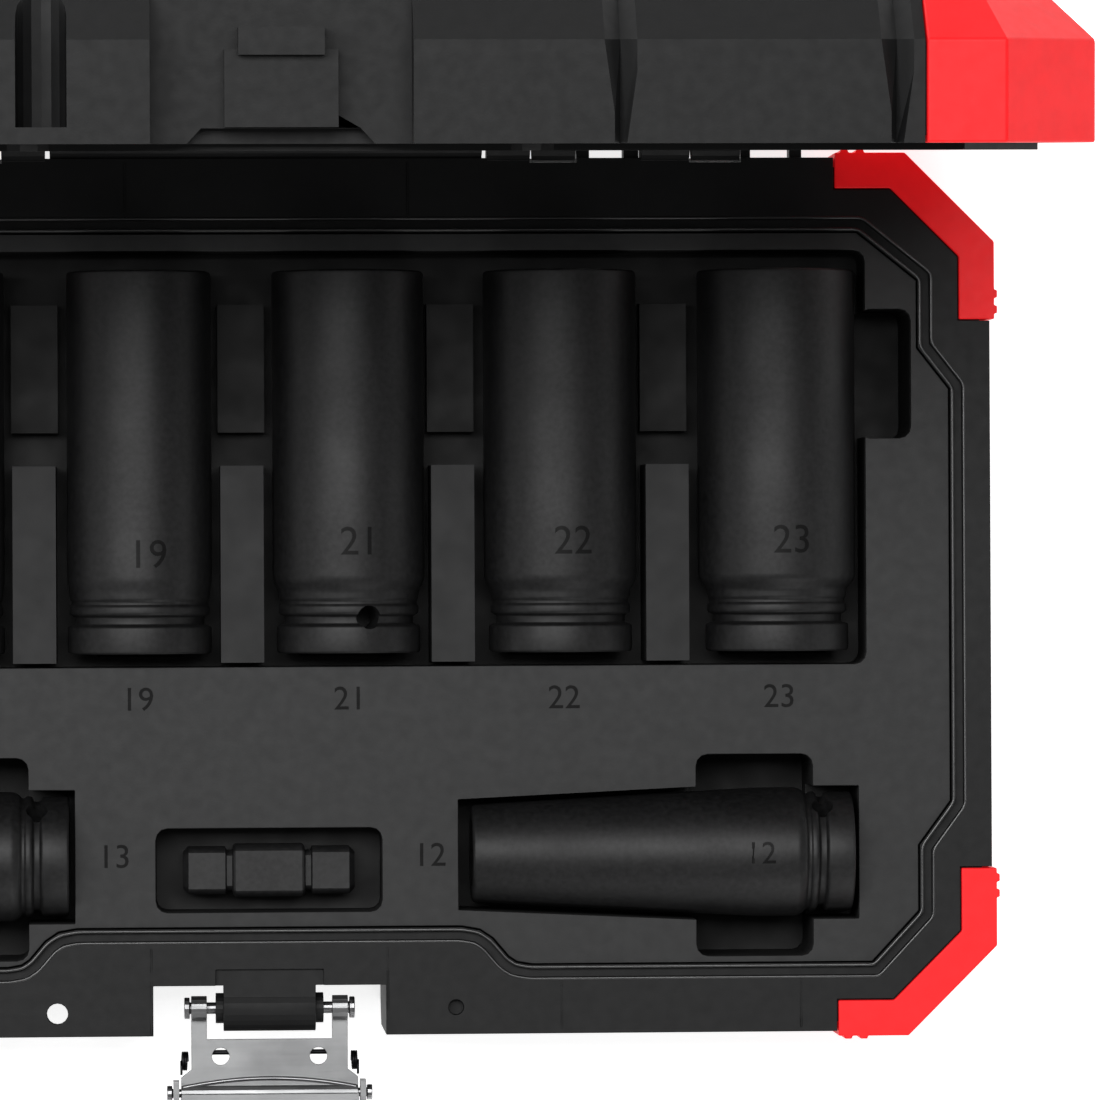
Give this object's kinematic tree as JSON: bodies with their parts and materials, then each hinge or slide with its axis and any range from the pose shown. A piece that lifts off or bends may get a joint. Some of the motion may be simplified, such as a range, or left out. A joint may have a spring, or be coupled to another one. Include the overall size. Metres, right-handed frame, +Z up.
{
  "type": "socket wrench set in case",
  "caption": "Hinged plastic case with red corner guards and a steel draw latch, holding a moulded tray of deep impact sockets, slim tapered sockets and a small drive coupler.",
  "frame": {"origin": "centre of the case base's flat underside", "axes": "+X along the length of the case to the right, +Y to the hinges, +Z up out of the open base"},
  "size_m": [0.2992, 0.2241, 0.2211],
  "materials": {
    "shell": "fine-grained black moulded plastic",
    "tray": "dark grey satin moulded plastic",
    "foam": "closed-cell foam pad",
    "guard": "bright red satin moulded plastic",
    "steel": "zinc-plated pressed steel",
    "spring": "dark spring steel",
    "phosphate": "black phosphated forged steel, satin"
  },
  "bodies": {
    "base": {"base_shell": "shell", "tray_plate": "tray", "tray_well_main": "tray", "tray_well_finger": "tray", "tray_well_12": "tray", "tray_well_13": "tray", "tray_well_coupler": "tray", "guard_base_back_right": "guard", "guard_base_back_left": "guard", "guard_base_front_right": "guard", "guard_base_front_left": "guard", "hinge_pin_inner_right": "steel", "hinge_pin_outer_right": "steel", "hinge_pin_inner_left": "steel", "hinge_pin_outer_left": "steel", "latch_pin": "steel"},
    "lid": {"lid_shell": "shell", "lid_foam": "foam", "guard_lid_back_right": "guard", "guard_lid_back_left": "guard", "guard_lid_front_right": "guard", "guard_lid_front_left": "guard"},
    "latch_plate": {"latch_plate": "steel", "latch_spring_right": "spring", "latch_spring_left": "spring", "latch_claw_pin": "steel"},
    "latch_claw": {"latch_claw": "steel"},
    "coupler": {"coupler": "phosphate"},
    "socket_17": {"socket_17": "phosphate"},
    "socket_18": {"socket_18": "phosphate"},
    "socket_19": {"socket_19": "phosphate"},
    "socket_21": {"socket_21": "phosphate"},
    "socket_22": {"socket_22": "phosphate"},
    "socket_23": {"socket_23": "phosphate"},
    "socket_12_slim": {"socket_12_slim": "phosphate"},
    "socket_13_slim": {"socket_13_slim": "phosphate"}
  },
  "joints": [
    {"name": "lid_hinge", "type": "hinge", "parent": "base", "child": "lid", "pos_m": [0, 0.0919, 0.038], "axis": [-1, 0, 0], "range_deg": [-86.8, 0]},
    {"name": "latch_plate_hinge", "type": "hinge", "parent": "base", "child": "latch_plate", "pos_m": [0, -0.084, 0.033], "axis": [1, 0, 0], "range_deg": [-90, 50]},
    {"name": "latch_claw_hinge", "type": "hinge", "parent": "latch_plate", "child": "latch_claw", "pos_m": [0, -0.1015, 0.031], "axis": [-1, 0, 0], "range_deg": [-90, 75], "stiffness_Nm_per_rad": 0.02},
    {"name": "socket_17_lift", "type": "slide", "parent": "base", "child": "socket_17", "axis": [0, 0, 1], "range_m": [0, 0.06]},
    {"name": "socket_18_lift", "type": "slide", "parent": "base", "child": "socket_18", "axis": [0, 0, 1], "range_m": [0, 0.06]},
    {"name": "socket_19_lift", "type": "slide", "parent": "base", "child": "socket_19", "axis": [0, 0, 1], "range_m": [0, 0.06]},
    {"name": "socket_21_lift", "type": "slide", "parent": "base", "child": "socket_21", "axis": [0, 0, 1], "range_m": [0, 0.06]},
    {"name": "socket_22_lift", "type": "slide", "parent": "base", "child": "socket_22", "axis": [0, 0, 1], "range_m": [0, 0.06]},
    {"name": "socket_23_lift", "type": "slide", "parent": "base", "child": "socket_23", "axis": [0, 0, 1], "range_m": [0, 0.06]},
    {"name": "socket_12_slim_lift", "type": "slide", "parent": "base", "child": "socket_12_slim", "axis": [0, 0, 1], "range_m": [0, 0.06]},
    {"name": "socket_13_slim_lift", "type": "slide", "parent": "base", "child": "socket_13_slim", "axis": [0, 0, 1], "range_m": [0, 0.06]},
    {"name": "coupler_lift", "type": "slide", "parent": "base", "child": "coupler", "axis": [0, 0, 1], "range_m": [0, 0.04]}
  ]
}
